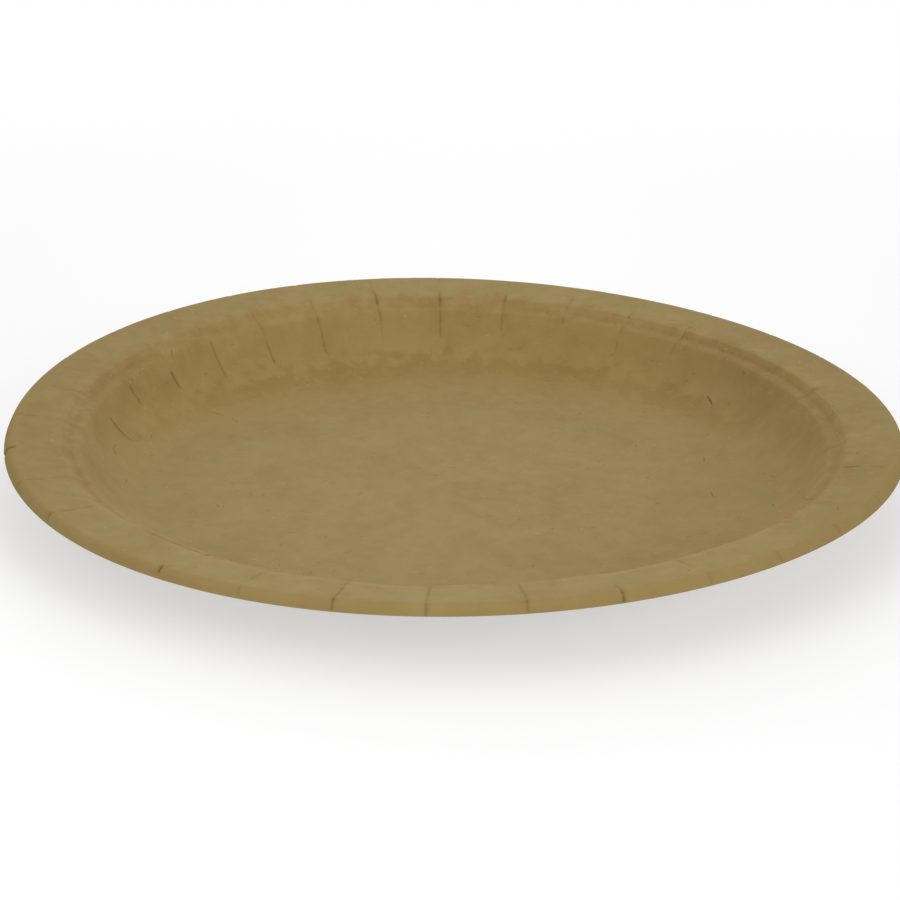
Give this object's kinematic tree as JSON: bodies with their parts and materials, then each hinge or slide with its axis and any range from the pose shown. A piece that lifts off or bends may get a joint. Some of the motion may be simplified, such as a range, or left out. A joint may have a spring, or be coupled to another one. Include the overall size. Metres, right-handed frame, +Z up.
{
  "type": "paper plate",
  "caption": "Round pressed kraft paper plate with a flat floor, sloping wall, stepped shoulder and a broad brim with a short downturned lip, its rim folded into radial pleats",
  "frame": {"origin": "centre of the underside of the floor, on the surface that the plate stands on", "axes": "+Z up, through the centre of the plate; -Y towards the side that the picture was taken from; +X to the right in that view"},
  "size_m": [0.23, 0.23, 0.0183],
  "materials": {
    "kraft_board": "matte"
  },
  "bodies": {
    "root": {"plate": "kraft_board"}
  },
  "joints": []
}
